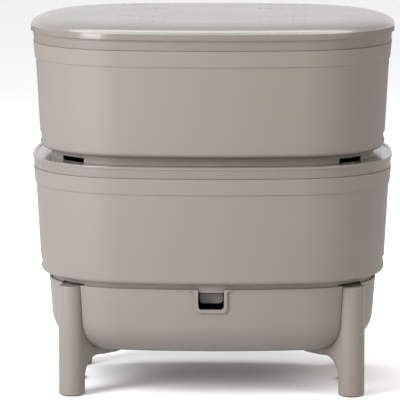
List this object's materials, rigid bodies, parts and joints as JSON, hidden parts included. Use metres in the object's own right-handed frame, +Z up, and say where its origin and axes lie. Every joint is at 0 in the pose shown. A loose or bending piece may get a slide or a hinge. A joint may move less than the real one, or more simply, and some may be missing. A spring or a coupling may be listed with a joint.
{
  "type": "worm composter",
  "caption": "Stacking worm composter: oval double-walled trays under a vented lid, nested in a legged collecting basin with a finger-lifted drain valve.",
  "frame": {"origin": "on the floor, under the centre of the collecting basin", "axes": "+Z up, -Y towards the front with the notch in the basin's rim, +X to the right seen from the front"},
  "size_m": [0.518, 0.3798, 0.5325],
  "materials": {
    "taupe_plastic": "satin gloss",
    "bin_plastic": "fine matt inside, gloss on the ledge",
    "pad_rubber": "matt",
    "seal_rubber": "matt",
    "valve_plastic": "fine matt",
    "screw_steel": "plain",
    "spring_steel": "drawn"
  },
  "bodies": {
    "base": {"collecting_basin": "taupe_plastic", "leg_front_left": "taupe_plastic", "leg_front_right": "taupe_plastic", "leg_rear_left": "taupe_plastic", "leg_rear_right": "taupe_plastic", "foot_pad_front_left": "pad_rubber", "foot_pad_front_right": "pad_rubber", "foot_pad_rear_left": "pad_rubber", "foot_pad_rear_right": "pad_rubber", "leg_screws": "screw_steel", "drain_outlet": "valve_plastic", "outlet_gasket": "seal_rubber", "outlet_nut": "valve_plastic", "drain_strainer": "valve_plastic", "strainer_screws": "screw_steel"},
    "lower_tray": {"lower_tray_shell": "taupe_plastic", "lower_tray_bin": "bin_plastic"},
    "upper_tray": {"upper_tray_shell": "taupe_plastic", "upper_tray_bin": "bin_plastic"},
    "lid_body": {"lid": "taupe_plastic"},
    "drain_valve": {"drain_tab": "taupe_plastic", "drain_plug": "seal_rubber", "spring_clip": "valve_plastic", "drain_spring": "spring_steel"}
  },
  "joints": [
    {"name": "lower_tray_lift", "type": "slide", "parent": "base", "child": "lower_tray", "axis": [0, 0, 1], "range_m": [0, 0.2]},
    {"name": "upper_tray_lift", "type": "slide", "parent": "lower_tray", "child": "upper_tray", "axis": [0, 0, 1], "range_m": [0, 0.2]},
    {"name": "lid_lift", "type": "slide", "parent": "upper_tray", "child": "lid_body", "axis": [0, 0, 1], "range_m": [0, 0.2]},
    {"name": "drain_lift", "type": "slide", "parent": "base", "child": "drain_valve", "axis": [0, 0, 1], "range_m": [0, 0.005], "stiffness_N_per_m": 150, "springref_m": -0.006, "deforming": ["drain_spring"]}
  ]
}
